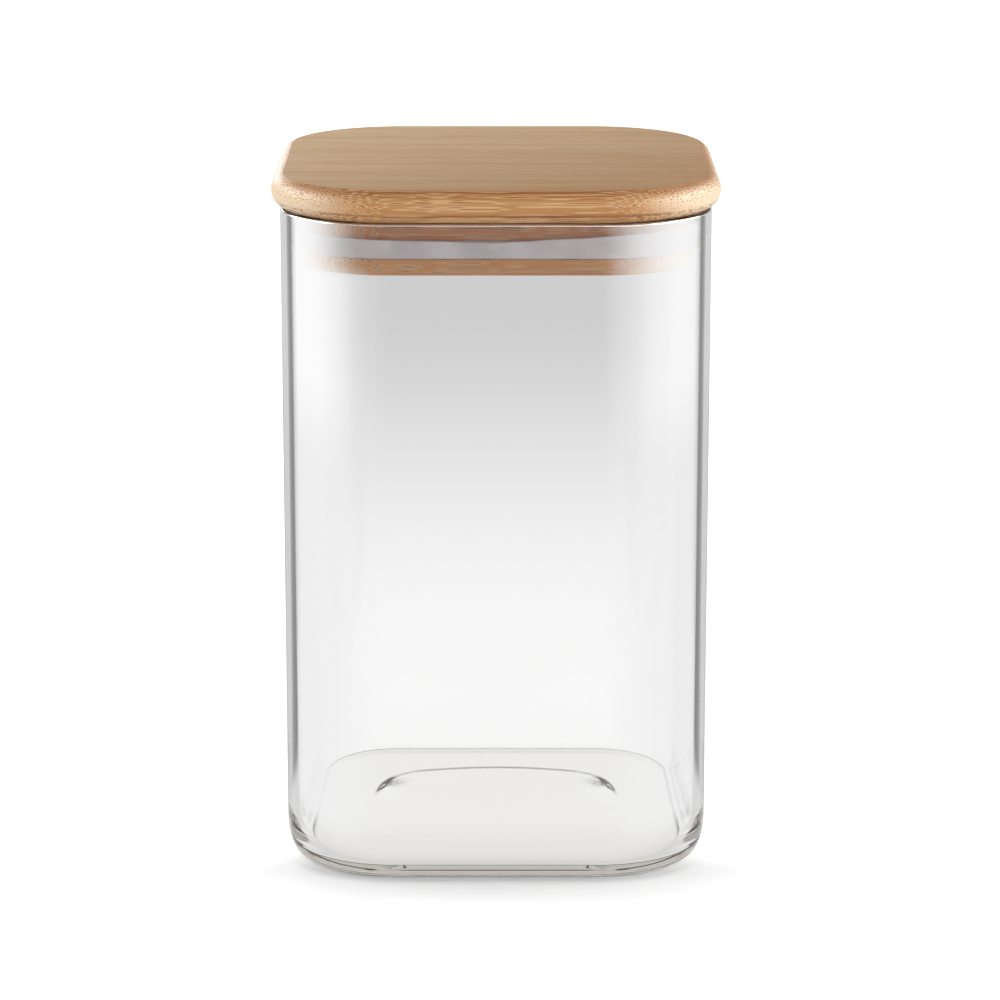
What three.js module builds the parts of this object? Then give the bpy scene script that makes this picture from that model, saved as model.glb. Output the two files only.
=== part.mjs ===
// Square glass storage jar with a bamboo lid and a silicone seal.
// Millimetres, +Z up. The origin is the centre of the foot, on the surface the jar stands on.
import * as THREE from 'three';

// Jar: one blown glass body, a square with round corners seen from above.
const JAR_WIDTH = 100;
const JAR_HEIGHT = 155.8;
const JAR_CORNER = 25.5;
const WALL = 2.5;
const BASE = 2.6;
const HEEL_INSET = 3;
const HEEL_HEIGHT = 9;
const INNER_HEEL_INSET = 3.5;
const INNER_HEEL_HEIGHT = 9;

// Push-up under the base: a shallow rise inside a flat ring that the jar stands on.
const STANDING_RING = 14.5;
const PUSH_UP_CORNER = 16.3;
const PUSH_UP_SLOPE = 2.8;
const PUSH_UP_RISE = 0.3;

// Lid: three bamboo plies glued flat on each other. The top ply and the flange make the rim.
const LID_OVERHANG = 2.2;
const LID_CORNER = 29.5;
const TOP_PLY = 5.5;
const FLANGE = 1.9;
const EDGE_INSET = 2.9;
const NECK = 4.5;
const GROOVE_HEIGHT = 4.1;
const GROOVE_DEPTH = 2.5;
const FOOT = 4;
const FOOT_CHAMFER = 0.7;

// Seal: a ring in the groove, with a web below and a thin lip that stands along the glass.
const LIP_HEIGHT = 4.5;
const LIP_THICKNESS = 0.6;
const LIP_ROUND = 0.9;
const WEB = 1.4;

// Clearances between neighbours.
const SEAT_CLEARANCE = 0.1;
const GLUE_LINE = 0.1;
const PLUG_CLEARANCE = 2;
const SEAL_FIT = 0.1;
const SEAL_GAP = 0.2;

// Facets.
const CORNER_STEPS = 12;
const HEEL_STEPS = 6;
const RIM_STEPS = 6;
const SLOPE_STEPS = 4;
const EDGE_STEPS = 6;
const LIP_STEPS = 3;

// Heights worked out from the jar's rim, where the lid sits.
const rimBottom = JAR_HEIGHT + SEAT_CLEARANCE;
const flangeTop = rimBottom + FLANGE;
const topPlyBottom = flangeTop + GLUE_LINE;
const lidTop = topPlyBottom + TOP_PLY;
const neckBottom = rimBottom - NECK;
const grooveBottom = neckBottom - GROOVE_HEIGHT;
const footBottom = grooveBottom - FOOT;

// Insets measured inwards from the outside of the jar.
const plugInset = WALL + PLUG_CLEARANCE;
const coreInset = plugInset + GROOVE_DEPTH;

const QUARTER = Math.PI / 2;

// Outline of a square with round corners, anticlockwise. Every such outline has as many points,
// so that two of them can be joined point by point.
function roundedSquare(halfWidth, cornerRadius) {
  const corner = halfWidth - cornerRadius;
  const round = new THREE.EllipseCurve(corner, corner, cornerRadius, cornerRadius, 0, QUARTER);
  const quarter = round.getPoints(CORNER_STEPS);
  const centre = new THREE.Vector2();
  return [0, 1, 2, 3].flatMap(
    (turn) => quarter.map((point) => point.clone().rotateAround(centre, turn * QUARTER)),
  );
}

function atHeight(outline, z) {
  return outline.map((point) => new THREE.Vector3(point.x, point.y, z));
}

// Ring parallel to the outside of the jar, moved inwards by an inset.
function jarRing(inset, z) {
  return atHeight(roundedSquare(JAR_WIDTH / 2 - inset, JAR_CORNER - inset), z);
}

// Ring parallel to the widest line of the lid's rim.
function lidRing(inset, z) {
  return atHeight(roundedSquare(JAR_WIDTH / 2 + LID_OVERHANG - inset, LID_CORNER - inset), z);
}

// Points of an elliptic arc in the section plane, as inset and height.
function ellipticArc(inset, z, inward, upward, from, to, clockwise, steps) {
  return new THREE.EllipseCurve(inset, z, inward, upward, from, to, clockwise).getPoints(steps);
}

function roundArc(inset, z, radius, from, to, clockwise, steps) {
  return ellipticArc(inset, z, radius, radius, from, to, clockwise, steps);
}

function ringsAlong(section, makeRing) {
  return section.map((point) => makeRing(point.x, point.y));
}

// Skin through rings that run outwards below, up the outside and inwards above.
function skin(rings, indices) {
  const count = rings[0].length;
  for (let ring = 0; ring + 1 < rings.length; ring += 1) {
    for (let k = 0; k < count; k += 1) {
      const next = (k + 1) % count;
      const low = ring * count;
      const high = low + count;
      indices.push(low + k, low + next, high + next);
      indices.push(low + k, high + next, high + k);
    }
  }
}

function solidFrom(points, indices) {
  const geometry = new THREE.BufferGeometry().setFromPoints(points);
  geometry.setIndex(indices);
  geometry.computeVertexNormals();
  return geometry;
}

// Solid whose first and last rings are closed by a fan to their centres.
function cappedSolid(rings) {
  const indices = [];
  skin(rings, indices);
  const count = rings[0].length;
  const points = rings.flat();
  const lastRing = points.length - count;
  const bottomCentre = points.push(new THREE.Vector3(0, 0, rings[0][0].z)) - 1;
  const topCentre = points.push(new THREE.Vector3(0, 0, rings.at(-1)[0].z)) - 1;
  for (let k = 0; k < count; k += 1) {
    const next = (k + 1) % count;
    indices.push(bottomCentre, next, k);
    indices.push(lastRing + k, lastRing + next, topCentre);
  }
  return solidFrom(points, indices);
}

// Ring-shaped solid: the last section point joins the first.
function hoopSolid(rings) {
  const indices = [];
  skin([...rings, rings[0]], indices);
  const points = rings.flat();
  return solidFrom(points, indices.map((index) => index % points.length));
}

// The push-up's slope, from its raised middle out to the standing ring.
function pushUpRings() {
  const halfWidth = JAR_WIDTH / 2 - HEEL_INSET - STANDING_RING;
  const rings = [];
  for (let k = SLOPE_STEPS; k >= 0; k -= 1) {
    const share = k / SLOPE_STEPS;
    const inset = PUSH_UP_SLOPE * share;
    const rise = PUSH_UP_RISE * (1 - Math.cos(Math.PI * share)) / 2;
    rings.push(atHeight(roundedSquare(halfWidth - inset, PUSH_UP_CORNER - inset), rise));
  }
  return rings;
}

function jarBody() {
  const halfWall = WALL / 2;
  const section = [
    ...ellipticArc(
      HEEL_INSET, HEEL_HEIGHT, HEEL_INSET, HEEL_HEIGHT, 3 * QUARTER, 2 * QUARTER, true, HEEL_STEPS,
    ),
    ...roundArc(halfWall, JAR_HEIGHT - halfWall, halfWall, 2 * QUARTER, 0, true, RIM_STEPS),
    ...ellipticArc(
      WALL + INNER_HEEL_INSET, BASE + INNER_HEEL_HEIGHT, INNER_HEEL_INSET, INNER_HEEL_HEIGHT,
      2 * QUARTER, 3 * QUARTER, false, HEEL_STEPS,
    ),
  ];
  return cappedSolid([...pushUpRings(), ...ringsAlong(section, jarRing)]);
}

// Points up the rounded edge of the rim between two heights. The edge is one arc that starts
// and ends at its inset on the rim's two faces.
function edgeSection(fromHeight, toHeight) {
  const halfRim = (lidTop - rimBottom) / 2;
  const middle = rimBottom + halfRim;
  const radius = (halfRim ** 2 + EDGE_INSET ** 2) / (2 * EDGE_INSET);
  const from = 2 * QUARTER - Math.asin((fromHeight - middle) / radius);
  const to = 2 * QUARTER - Math.asin((toHeight - middle) / radius);
  return roundArc(radius, middle, radius, from, to, true, EDGE_STEPS);
}

function lidTopPly() {
  return cappedSolid(ringsAlong(edgeSection(topPlyBottom, lidTop), lidRing));
}

function lidMiddlePly() {
  return cappedSolid([
    jarRing(plugInset, neckBottom),
    jarRing(plugInset, rimBottom),
    ...ringsAlong(edgeSection(rimBottom, flangeTop), lidRing),
  ]);
}

function lidBottomPly() {
  return cappedSolid([
    jarRing(plugInset + FOOT_CHAMFER, footBottom),
    jarRing(plugInset, footBottom + FOOT_CHAMFER),
    jarRing(plugInset, grooveBottom),
    jarRing(coreInset, grooveBottom),
    jarRing(coreInset, neckBottom - GLUE_LINE),
  ]);
}

function sealRing() {
  const bottom = grooveBottom + SEAL_FIT;
  const top = neckBottom - SEAL_FIT;
  const inner = coreInset - SEAL_FIT;
  const bodyOuter = plugInset + SEAL_FIT;
  const lipOuter = WALL + SEAL_GAP;
  const lipInner = lipOuter + LIP_THICKNESS;
  const lipTop = bottom + LIP_HEIGHT;
  const tip = LIP_THICKNESS / 2;
  const section = [
    new THREE.Vector2(inner, bottom),
    ...roundArc(
      lipOuter + LIP_ROUND, bottom + LIP_ROUND, LIP_ROUND, 3 * QUARTER, 2 * QUARTER, true, LIP_STEPS,
    ),
    ...roundArc(lipOuter + tip, lipTop - tip, tip, 2 * QUARTER, 0, true, LIP_STEPS),
    new THREE.Vector2(lipInner, bottom + WEB),
    new THREE.Vector2(bodyOuter, bottom + WEB),
    new THREE.Vector2(bodyOuter, top),
    new THREE.Vector2(inner, top),
  ];
  return hoopSolid(ringsAlong(section, jarRing));
}

const clearGlass = new THREE.MeshStandardMaterial({
  color: 0xeef2f0, roughness: 0.03, metalness: 0, transparent: true, opacity: 0.3,
});
const bambooFace = new THREE.MeshStandardMaterial({ color: 0xc4a07a, roughness: 0.5, metalness: 0 });
const bambooFlange = new THREE.MeshStandardMaterial({ color: 0xb58a5d, roughness: 0.55, metalness: 0 });
const bambooFoot = new THREE.MeshStandardMaterial({ color: 0xa07d5c, roughness: 0.6, metalness: 0 });
const silicone = new THREE.MeshStandardMaterial({ color: 0xd8d2d2, roughness: 0.4, metalness: 0 });

function piece(name, geometry, material) {
  const mesh = new THREE.Mesh(geometry, material);
  mesh.name = name;
  return mesh;
}

const lid = new THREE.Group();
lid.add(
  piece('lid_top_ply', lidTopPly(), bambooFace),
  piece('lid_middle_ply', lidMiddlePly(), bambooFlange),
  piece('lid_bottom_ply', lidBottomPly(), bambooFoot),
  piece('seal_ring', sealRing(), silicone),
);

const storageJar = new THREE.Group();
storageJar.add(piece('jar_body', jarBody(), clearGlass), lid);

export default storageJar;
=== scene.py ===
"""Looks of a square glass storage jar with a bamboo lid and a silicone seal.

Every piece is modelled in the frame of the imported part, in metres, and rides on its body.
"""

import logging
import math
from dataclasses import dataclass, field
from enum import Enum
from typing import Callable, Iterator, Union

import bmesh
import bpy
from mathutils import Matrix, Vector


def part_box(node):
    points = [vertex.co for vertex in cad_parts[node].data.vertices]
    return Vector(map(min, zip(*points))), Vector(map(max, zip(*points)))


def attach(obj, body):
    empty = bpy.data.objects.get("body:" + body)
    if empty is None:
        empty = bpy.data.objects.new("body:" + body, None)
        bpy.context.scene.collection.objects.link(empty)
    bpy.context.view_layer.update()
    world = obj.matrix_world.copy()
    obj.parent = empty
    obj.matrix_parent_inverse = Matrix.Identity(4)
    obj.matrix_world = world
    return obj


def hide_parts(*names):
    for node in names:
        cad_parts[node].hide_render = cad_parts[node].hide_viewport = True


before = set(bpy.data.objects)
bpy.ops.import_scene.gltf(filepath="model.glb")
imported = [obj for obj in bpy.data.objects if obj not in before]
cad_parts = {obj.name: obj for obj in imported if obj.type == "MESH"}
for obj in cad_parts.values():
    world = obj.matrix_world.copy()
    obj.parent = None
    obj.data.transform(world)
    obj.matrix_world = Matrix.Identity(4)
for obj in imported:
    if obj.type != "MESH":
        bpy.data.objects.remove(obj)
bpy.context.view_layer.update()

MM = 0.001
log = logging.getLogger("storage_jar")

Triple = tuple[float, float, float]
Colour = Triple
Span = tuple[float, float]
Socket = bpy.types.NodeSocket
Value = Union[float, tuple, Socket]

WHITE: Colour = (1.0, 1.0, 1.0)


def srgb(red: int, green: int, blue: int) -> Colour:
    """Turns a colour as a screen shows it into the linear colour of a shader.

    Args:
        red: Red from 0 to 255.
        green: Green from 0 to 255.
        blue: Blue from 0 to 255.

    Returns:
        The linear colour.
    """
    def linear(level: int) -> float:
        """Returns one channel in linear light."""
        share = level / 255
        return share / 12.92 if share <= 0.04045 else ((share + 0.055) / 1.055) ** 2.4

    return linear(red), linear(green), linear(blue)


class Face(Enum):
    """Which end of a piece is being worked."""

    TOP = 1
    BOTTOM = -1


class Ply(Enum):
    """The three bamboo boards of the lid, by their node names."""

    TOP = "lid_top_ply"
    MIDDLE = "lid_middle_ply"
    BOTTOM = "lid_bottom_ply"


@dataclass(frozen=True)
class Outline:
    """A square with round corners seen from above.

    Attributes:
        half_width: Half the width across the flats.
        corner: Corner radius.
    """

    half_width: float
    corner: float

    def depth(self, spot: Vector) -> float:
        """Measures how far inside the outline a point lies.

        Args:
            spot: The point.

        Returns:
            The distance, negative outside.
        """
        straight = self.half_width - self.corner
        across, along = abs(spot.x) - straight, abs(spot.y) - straight
        if across > 0 and along > 0:
            return self.corner - math.hypot(across, along)
        return self.corner - max(across, along)

    def inset(self, distance: float) -> "Outline":
        """Returns the parallel outline moved inwards by a distance."""
        return Outline(self.half_width - distance, self.corner - distance)


def arc_steps(
    inward: float, upward: float, start: float, end: float, steps: int
) -> Iterator[tuple[float, float]]:
    """Walks an elliptic arc in the section plane, where one axis runs inwards and one up.

    Args:
        inward: Radius of the arc along the inward axis.
        upward: Radius of the arc along the upward axis.
        start: Angle of its first point, in degrees from the inward axis.
        end: Angle of its last point.
        steps: Number of steps.

    Yields:
        The inset and the rise of each step.
    """
    turns = [math.radians(start + (end - start) * k / steps) for k in range(steps + 1)]
    for turn, following in zip(turns, turns[1:]):
        inset = inward * (math.cos(following) - math.cos(turn))
        rise = upward * (math.sin(following) - math.sin(turn))
        yield inset, rise


class Carving:
    """One mesh in edit mode, shaped from a rounded plate by insets and extrusions.

    Attributes:
        corner_segments: Facets round each corner.
        side_cuts: Cuts along each straight side.
        level: Least upright share of the normal of a face that counts as level.
        weld: Distance within which points are merged.
        area_weight: How much large faces decide the shading at an edge, 50 being even.
    """

    corner_segments = 28
    side_cuts = 13
    level = 0.99
    weld = 0.001 * MM
    area_weight = 100

    def __init__(self, name: str, outline: Outline, height: float) -> None:
        """Lays a rounded plate at a height and opens it for editing.

        Args:
            name: Name of the finished piece.
            outline: Outline of the plate.
            height: Height of the plate.
        """
        bpy.ops.object.select_all(action="DESELECT")
        bpy.ops.mesh.primitive_plane_add(size=2 * outline.half_width, location=(0, 0, height))
        self.piece = bpy.context.object
        self.piece.name = name
        self.piece.data.name = name
        self.face = Face.TOP
        bpy.ops.object.mode_set(mode="EDIT")
        bpy.ops.mesh.select_mode(type="VERT")
        bpy.ops.mesh.select_all(action="SELECT")
        self._round_corners(outline)

    @property
    def net(self) -> bmesh.types.BMesh:
        """The mesh under edit."""
        return bmesh.from_edit_mesh(self.piece.data)

    def _round_corners(self, outline: Outline) -> None:
        """Rounds the selected plate's corners and divides its sides.

        Args:
            outline: Outline that the plate gets.
        """
        bpy.ops.mesh.bevel(
            offset=outline.corner, segments=self.corner_segments, profile=0.5, affect="VERTICES"
        )
        plate = next(face for face in self.net.faces if face.select)
        plate.select_set(False)
        straight = outline.half_width - outline.corner
        for edge in plate.edges:
            edge.select_set(edge.calc_length() > straight)
        bmesh.update_edit_mesh(self.piece.data)
        bpy.ops.mesh.subdivide(number_cuts=self.side_cuts)
        divided = next(edge for edge in self.net.edges if edge.select)
        bpy.ops.mesh.select_all(action="DESELECT")
        divided.link_faces[0].select_set(True)
        bmesh.update_edit_mesh(self.piece.data)

    def add_plate(self, outline: Outline, height: float) -> None:
        """Adds another rounded plate to the mesh and selects it.

        Args:
            outline: Outline of the plate.
            height: Height of the plate.
        """
        bpy.ops.mesh.select_all(action="DESELECT")
        bpy.ops.mesh.primitive_plane_add(size=2 * outline.half_width, location=(0, 0, height))
        self.face = Face.TOP
        self._round_corners(outline)

    def extrude(self, rise: float) -> None:
        """Extrudes the selected face straight up, or down for a negative rise."""
        bpy.ops.mesh.extrude_region_move(TRANSFORM_OT_translate={"value": (0, 0, rise)})

    def step(self, inset: float, rise: float = 0.0) -> None:
        """Insets the selected face and moves its inner part up or down.

        Args:
            inset: Distance inwards.
            rise: Distance up.
        """
        bpy.ops.mesh.inset(
            thickness=inset, depth=rise * self.face.value, use_even_offset=True, use_boundary=True
        )

    def follow(self, steps: Iterator[tuple[float, float]]) -> None:
        """Insets the selected face along a row of steps."""
        for inset, rise in steps:
            self.step(inset, rise)

    def turn_over(self) -> None:
        """Selects the large face that looks down, to work on the underside."""
        bpy.ops.mesh.select_all(action="DESELECT")
        below = [face for face in self.net.faces if face.normal.z < -self.level]
        max(below, key=lambda face: face.calc_area()).select_set(True)
        bmesh.update_edit_mesh(self.piece.data)
        self.face = Face.BOTTOM

    def shrink(self, share: float) -> None:
        """Scales the chosen face about the middle."""
        bpy.ops.transform.resize(value=(share, share, 1.0))

    def soften(self, share: float) -> None:
        """Moves the selected face's outline part of the way to a circle."""
        bpy.ops.transform.tosphere(value=share)

    def _choose(self, chosen: Callable[[Vector], bool]) -> None:
        """Selects the points whose place passes a test.

        Args:
            chosen: Tells from a point's place whether it is selected.
        """
        bpy.ops.mesh.select_mode(type="VERT")
        bpy.ops.mesh.select_all(action="DESELECT")
        net = self.net
        for vert in net.verts:
            vert.select_set(chosen(self.piece.matrix_world @ vert.co))
        net.select_flush_mode()
        bmesh.update_edit_mesh(self.piece.data)

    def lift(self, chosen: Callable[[Vector], bool], rise: float) -> None:
        """Moves some points up.

        Args:
            chosen: Tells from a point's place whether it moves.
            rise: Distance up.
        """
        self._choose(chosen)
        bpy.ops.transform.translate(value=(0, 0, rise))

    def swell(self, chosen: Callable[[Vector], bool], share: float) -> None:
        """Makes some points stand higher above the floor.

        Args:
            chosen: Tells from a point's place whether it moves.
            share: Its new height against the old one.
        """
        self._choose(chosen)
        bpy.ops.transform.resize(value=(1.0, 1.0, share), center_override=(0.0, 0.0, 0.0))

    def open_face(self) -> None:
        """Deletes the selected face and leaves its edges."""
        bpy.ops.mesh.delete(type="ONLY_FACE")

    def bridge_openings(self) -> None:
        """Joins the two open loops of the mesh by a band of faces."""
        bpy.ops.mesh.select_all(action="DESELECT")
        bpy.ops.mesh.select_non_manifold()
        bpy.ops.mesh.bridge_edge_loops()

    def finish(self, sharp_angle: float) -> bpy.types.Object:
        """Closes the mesh, sets its shading and leaves edit mode.

        Args:
            sharp_angle: Edges that turn by more than this many degrees stay sharp.

        Returns:
            The finished piece, at the origin.
        """
        bpy.ops.mesh.select_all(action="SELECT")
        bpy.ops.mesh.remove_doubles(threshold=self.weld)
        bpy.ops.mesh.normals_make_consistent(inside=False)
        bpy.ops.object.mode_set(mode="OBJECT")
        bpy.ops.object.transform_apply(location=True, rotation=True, scale=True)
        bpy.ops.object.shade_smooth_by_angle(angle=math.radians(sharp_angle))
        weigh = self.piece.modifiers.new("even shading", "WEIGHTED_NORMAL")
        weigh.weight = self.area_weight
        weigh.keep_sharp = True
        bpy.ops.object.modifier_apply(modifier=weigh.name)
        return self.piece


class Graph:
    """Builds a node tree in few words."""

    def __init__(self, tree: bpy.types.NodeTree) -> None:
        """Empties a tree and takes it over."""
        self.tree = tree
        self.tree.nodes.clear()

    def add(
        self, kind: str, inputs: dict[str | int, Value] | None = None, **settings
    ) -> bpy.types.Node:
        """Adds a node.

        Args:
            kind: Blender's name of the node type.
            inputs: Values or sockets for its inputs, by name or number.
            **settings: Values of the node's own properties.

        Returns:
            The new node.
        """
        node = self.tree.nodes.new(kind)
        for name, setting in settings.items():
            setattr(node, name, setting)
        for key, value in (inputs or {}).items():
            self.put(node.inputs[key], value)
        return node

    def put(self, socket: Socket, value: Value) -> None:
        """Links a socket to an input, or sets the input's own value.

        Args:
            socket: The input.
            value: Another node's output, or a number, vector or colour.
        """
        if isinstance(value, Socket):
            self.tree.links.new(value, socket)
        elif isinstance(value, tuple) and socket.type == "RGBA":
            socket.default_value = (*value, 1.0)
        else:
            socket.default_value = value

    def calc(
        self, operation: str, first: Value, second: Value = 0.0, third: Value = 0.0, clamp: bool = False
    ) -> Socket:
        """Adds a Math node.

        Args:
            operation: Blender's name of the operation.
            first: First number.
            second: Second number, where the operation has one.
            third: Third number, where the operation has one.
            clamp: Whether the result is kept between 0 and 1.

        Returns:
            The result.
        """
        inputs = {0: first, 1: second, 2: third}
        node = self.add("ShaderNodeMath", inputs, operation=operation, use_clamp=clamp)
        return node.outputs[0]

    def product(self, first: Value, *others: Value) -> Value:
        """Multiplies two or more numbers.

        Args:
            first: First number.
            *others: The others.

        Returns:
            Their product.
        """
        for other in others:
            first = self.calc("MULTIPLY", first, other)
        return first

    def rest(self, share: Value) -> Socket:
        """Returns what a share leaves of 1."""
        return self.calc("SUBTRACT", 1.0, share)

    def any_of(self, count: Value) -> Socket:
        """Returns 1 for a count of one or more, else 0."""
        return self.calc("MINIMUM", count, 1.0)

    def blend(self, share: Value, first: Value, second: Value, mode: str = "MIX") -> Socket:
        """Mixes two colours.

        Args:
            share: How much the second colour counts.
            first: First colour.
            second: Second colour.
            mode: Blender's name of the way to mix.

        Returns:
            The mixed colour.
        """
        node = self.add(
            "ShaderNodeMix", {0: share, 6: first, 7: second}, data_type="RGBA", blend_type=mode
        )
        return node.outputs[2]

    def mix(self, share: Value, first: Value, second: Value) -> Socket:
        """Blends two numbers by a share."""
        return self.add("ShaderNodeMix", {0: share, 2: first, 3: second}, data_type="FLOAT").outputs[0]

    def fade(
        self, value: Value, low: float, high: float, start: Value = 0.0, end: Value = 1.0
    ) -> Socket:
        """Changes smoothly from start to end as a value goes from low to high.

        Args:
            value: The value.
            low: Where the change begins.
            high: Where it is complete.
            start: Result at low and before it.
            end: Result at high and past it.

        Returns:
            The result.
        """
        node = self.add(
            "ShaderNodeMapRange",
            {0: value, 1: low, 2: high, 3: start, 4: end},
            interpolation_type="SMOOTHSTEP",
        )
        return node.outputs[0]

    def stretch(self, vector: Value, scale: Triple) -> Socket:
        """Returns a vector scaled along each axis."""
        return self.add("ShaderNodeMapping", {"Vector": vector, "Scale": Vector(scale)}).outputs[0]

    def noise(
        self, vector: Value, scale: float, detail: float = 2.0, roughness: float = 0.5
    ) -> Socket:
        """Adds a cloudy pattern.

        Args:
            vector: Place in the pattern.
            scale: How fine it is.
            detail: How many finer layers it has.
            roughness: How strong the finer layers are.

        Returns:
            A value around one half.
        """
        node = self.add(
            "ShaderNodeTexNoise",
            {"Vector": vector, "Scale": scale, "Detail": detail, "Roughness": roughness},
        )
        return node.outputs["Fac"]

    def axis(self, vector: Value, name: str) -> Socket:
        """Returns one coordinate of a vector."""
        return self.add("ShaderNodeSeparateXYZ", {0: vector}).outputs[name]

    def vector(self, operation: str, first: Value, second: Value = (0.0, 0.0, 0.0)) -> bpy.types.Node:
        """Adds a Vector Math node."""
        return self.add("ShaderNodeVectorMath", {0: first, 1: second}, operation=operation)

    def length(self, vector: Value) -> Socket:
        """Returns the length of a vector."""
        return self.vector("LENGTH", vector).outputs["Value"]

    def gap(self, place: Value, outline: Outline) -> Socket:
        """Returns how far a place lies outside an upright outline, negative inside it.

        Args:
            place: Place in the frame of the part.
            outline: Outline seen from above.

        Returns:
            The distance in metres.
        """
        flat = outline.half_width - outline.corner
        level = self.vector("MULTIPLY", place, (1.0, 1.0, 0.0)).outputs[0]
        side = self.vector("ABSOLUTE", level).outputs[0]
        past = self.vector("SUBTRACT", side, (flat, flat, 0.0)).outputs[0]
        past = self.vector("MAXIMUM", past).outputs[0]
        return self.calc("SUBTRACT", self.length(past), outline.corner)


def new_material(name: str) -> tuple[bpy.types.Material, Graph]:
    """Makes an empty material.

    Args:
        name: Name of the finish.

    Returns:
        The material and its node tree.
    """
    material = bpy.data.materials.new(name)
    material.use_nodes = True
    return material, Graph(material.node_tree)


@dataclass(frozen=True)
class ClearGlass:
    """Clear blown glass, a little uneven and faintly green where it is seen edge on.

    The round corners mirror the pale studio, which veils what stands behind them. How much they
    mirror goes by the way that the wall faces: the shares below are parts of its normal.

    Attributes:
        refraction: Index of refraction.
        wave_size: How fine its unevenness is, per metre.
        wave_stretch: How the unevenness is scaled along each axis.
        wave_height: Height of the unevenness.
        edge_tint: Colour that a long way through the glass takes.
        edge_density: How fast it takes that colour.
        sheen: Strength of the veil.
        sheen_end: Between which facings the veil ends towards the outline of the jar.
        sheen_foot: Between which heights it starts above the foot.
        sheen_lid: Between which heights the lid's plug starts behind it.
        lid_veil: Between which sideways shares it grows on the left, in front of the plug.
        lid_veil_curve: Power that its growth follows there.
        air_veil: Between which sideways shares it grows on the left, below the plug.
        air_veil_curve: Power that its growth follows there.
        veil_turn: Between which forward shares it grows from the sides to the front.
        veil_middle: Sideways share within which the left veil changes into the right one.
        right_veil: Strength on the right, times the sideways and the forward share.
        outer_face: Between which depths in the wall, as parts of it, its outer face starts.
        rim_sheen: Strength of the bright line along the rim.
        rim_start: Between which upward shares that line starts.
        rim_end: Between which upward shares it ends.
    """

    refraction: float = 1.47
    wave_size: float = 38.0
    wave_stretch: Triple = (1.0, 1.0, 0.35)
    wave_height: float = 0.012 * MM
    edge_tint: Colour = (0.64, 0.64, 0.58)
    edge_density: float = 6.0
    sheen: float = 0.95
    sheen_end: Span = (0.48, 0.60)
    sheen_foot: Span = (6.0 * MM, 16.0 * MM)
    sheen_lid: Span = (142.5 * MM, 146.5 * MM)
    lid_veil: Span = (0.1, 0.8)
    lid_veil_curve: float = 1.4
    air_veil: Span = (-0.05, 0.68)
    air_veil_curve: float = 1.2
    veil_turn: Span = (0.0, 0.45)
    veil_middle: float = 0.02
    right_veil: float = 1.8
    outer_face: Span = (0.7, 0.3)
    rim_sheen: float = 0.5
    rim_start: Span = (0.12, 0.2)
    rim_end: Span = (0.45, 0.6)

    def _veil(self, graph: Graph, normal: Socket, height: Socket) -> Socket:
        """Returns the veil on a corner before its strength is set.

        Args:
            graph: Node tree of the glass.
            normal: Where the wall faces.
            height: Height of the place on the wall.

        Returns:
            The share of mirrored light.
        """
        side = graph.axis(normal, "X")
        across = graph.calc("ABSOLUTE", side)
        along = graph.calc("ABSOLUTE", graph.axis(normal, "Y"))
        over_plug = graph.calc("POWER", graph.fade(across, *self.lid_veil), self.lid_veil_curve)
        over_air = graph.calc("POWER", graph.fade(across, *self.air_veil), self.air_veil_curve)
        left = graph.mix(graph.fade(height, *self.sheen_lid), over_air, over_plug)
        left = graph.product(left, graph.fade(along, *self.veil_turn))
        right = graph.product(across, along, self.right_veil)
        return graph.mix(graph.fade(side, -self.veil_middle, self.veil_middle), left, right)

    def _mirror_share(self, graph: Graph, place: Socket, outline: Outline, wall: float) -> Socket:
        """Returns how much the corners and the rim mirror the pale studio on their outside.

        Args:
            graph: Node tree of the glass.
            place: Place on the glass.
            outline: Outline of the glass seen from above.
            wall: Thickness of the wall.

        Returns:
            The share of mirrored light.
        """
        geometry = graph.add("ShaderNodeNewGeometry")
        normal = geometry.outputs["Normal"]
        height = graph.axis(place, "Z")
        facing = graph.add("ShaderNodeLayerWeight", {"Blend": 0.5}).outputs["Facing"]
        steep = graph.fade(facing, *self.sheen_end, 1.0, 0.0)
        start, end = (-share * wall for share in self.outer_face)
        outside = graph.fade(graph.gap(place, outline), start, end)
        upper = graph.fade(height, *self.sheen_foot)
        veil = graph.product(self._veil(graph, normal, height), self.sheen, steep, outside, upper)
        upward = graph.axis(normal, "Z")
        rim = graph.product(
            graph.fade(upward, *self.rim_start),
            graph.fade(upward, *self.rim_end, 1.0, 0.0),
            graph.fade(height, *self.sheen_lid, 0.0, self.rim_sheen),
        )
        entering = graph.rest(geometry.outputs["Backfacing"])
        return graph.product(graph.calc("MAXIMUM", veil, rim), entering)

    def material(self, outline: Outline, wall: float) -> bpy.types.Material:
        """Makes the glass material.

        Args:
            outline: Outline of the glass seen from above.
            wall: Thickness of the wall.

        Returns:
            The glass material.
        """
        material, graph = new_material("clear_glass")
        place = graph.add("ShaderNodeTexCoord").outputs["Object"]
        wave = graph.noise(graph.stretch(place, self.wave_stretch), self.wave_size, 1.0)
        bump = graph.add(
            "ShaderNodeBump", {"Strength": 1.0, "Distance": self.wave_height, "Height": wave}
        )
        glass = graph.add(
            "ShaderNodeBsdfPrincipled",
            {
                "Base Color": WHITE,
                "Roughness": 0.0,
                "IOR": self.refraction,
                "Transmission Weight": 1.0,
                "Normal": bump.outputs[0],
            },
        )
        mirror = graph.add("ShaderNodeBsdfGlossy", {"Color": WHITE, "Roughness": 0.0})
        share = self._mirror_share(graph, place, outline, wall)
        both = graph.add("ShaderNodeMixShader", {0: share, 1: glass.outputs[0], 2: mirror.outputs[0]})
        absorb = graph.add(
            "ShaderNodeVolumeAbsorption", {"Color": self.edge_tint, "Density": self.edge_density}
        )
        graph.add(
            "ShaderNodeOutputMaterial", {"Surface": both.outputs[0], "Volume": absorb.outputs[0]}
        )
        return material


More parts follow.
